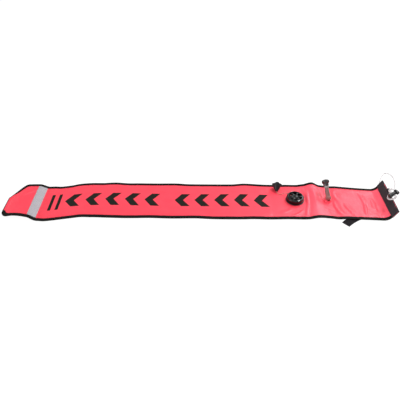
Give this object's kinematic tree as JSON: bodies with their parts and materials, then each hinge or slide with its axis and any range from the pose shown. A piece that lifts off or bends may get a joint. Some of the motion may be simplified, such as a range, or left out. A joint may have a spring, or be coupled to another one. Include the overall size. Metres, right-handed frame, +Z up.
{
  "type": "surface marker buoy",
  "caption": "Long flat diver's surface marker buoy of coated cloth, laid out deflated, with a dump valve, an oral inflator and a corded self-sealing mouth.",
  "frame": {"origin": "bottom centre of the bounding box of the object without its elastic loop, cord lock and pull cord, on the surface that the buoy lies on", "axes": "+X along the bag from its tip to its mouth, +Y across it towards the far edge, +Z up through the front panel"},
  "size_m": [1.2515, 0.2583, 0.0641],
  "materials": {
    "coral_cloth": "matte coated nylon",
    "black_tape": "matte woven",
    "silver_band": "satin retroreflective film",
    "black_webbing": "matte woven",
    "black_plastic": "gloss",
    "black_rubber": "matte",
    "spring_steel": "bright",
    "smoke_tube": "translucent satin",
    "grey_plastic": "satin",
    "pull_cord": "matte braid",
    "pale_elastic": "matte braid"
  },
  "bodies": {
    "bag": {"front_panel": "coral_cloth", "back_panel": "coral_cloth", "edge_binding": "black_tape", "reflective_band_front": "silver_band", "reflective_band_back": "silver_band", "hem_front": "black_webbing", "hem_back": "black_webbing", "baffle_front": "coral_cloth", "baffle_back": "coral_cloth", "storage_strap": "black_webbing", "valve_flange": "black_rubber", "valve_gasket": "black_rubber", "valve_body": "black_plastic", "valve_cap": "black_plastic", "valve_spring": "spring_steel", "inflator_flange": "coral_cloth", "loop_tab": "black_webbing", "elastic_loop": "pale_elastic", "lock_body": "black_plastic", "lock_spring": "spring_steel"},
    "poppet": {"valve_disc": "black_plastic", "valve_seal": "black_rubber"},
    "pull": {"pull_cord": "pull_cord", "pull_knob": "black_plastic"},
    "inflator": {"inflator_tube": "smoke_tube", "inflator_sleeve": "grey_plastic", "inflator_spring": "spring_steel"},
    "mouthpiece": {"inflator_mouthpiece": "black_plastic", "inflator_stem": "black_plastic", "inflator_seal": "black_rubber"},
    "lock_button": {"lock_plunger": "black_plastic"}
  },
  "joints": [
    {"name": "cord_pull", "type": "slide", "parent": "bag", "child": "pull", "axis": [-0.7431, 0.6691, 0], "range_m": [0, 0.008], "stiffness_N_per_m": 60},
    {"name": "valve_lift", "type": "slide", "parent": "bag", "child": "poppet", "axis": [0, 0, 1], "range_m": [0, 0.003], "stiffness_N_per_m": 300, "deforming": ["valve_spring"]},
    {"name": "inflator_tilt", "type": "hinge", "parent": "bag", "child": "inflator", "pos_m": [0.40885, 0.0127, 0.0136], "axis": [-0.9816, -0.1908, 0], "range_deg": [-48, 20], "stiffness_Nm_per_rad": 0.25},
    {"name": "mouthpiece_press", "type": "slide", "parent": "inflator", "child": "mouthpiece", "axis": [0.1418, -0.7295, -0.6691], "range_m": [0, 0.0035], "stiffness_N_per_m": 500, "deforming": ["inflator_spring"]},
    {"name": "lock_press", "type": "slide", "parent": "bag", "child": "lock_button", "axis": [-0.8667, -0.4608, -0.1908], "range_m": [0, 0.005], "stiffness_N_per_m": 500, "deforming": ["lock_spring"]}
  ],
  "couplings": [
    {"joint": "valve_lift", "follows": "cord_pull", "ratio": 0.375}
  ]
}
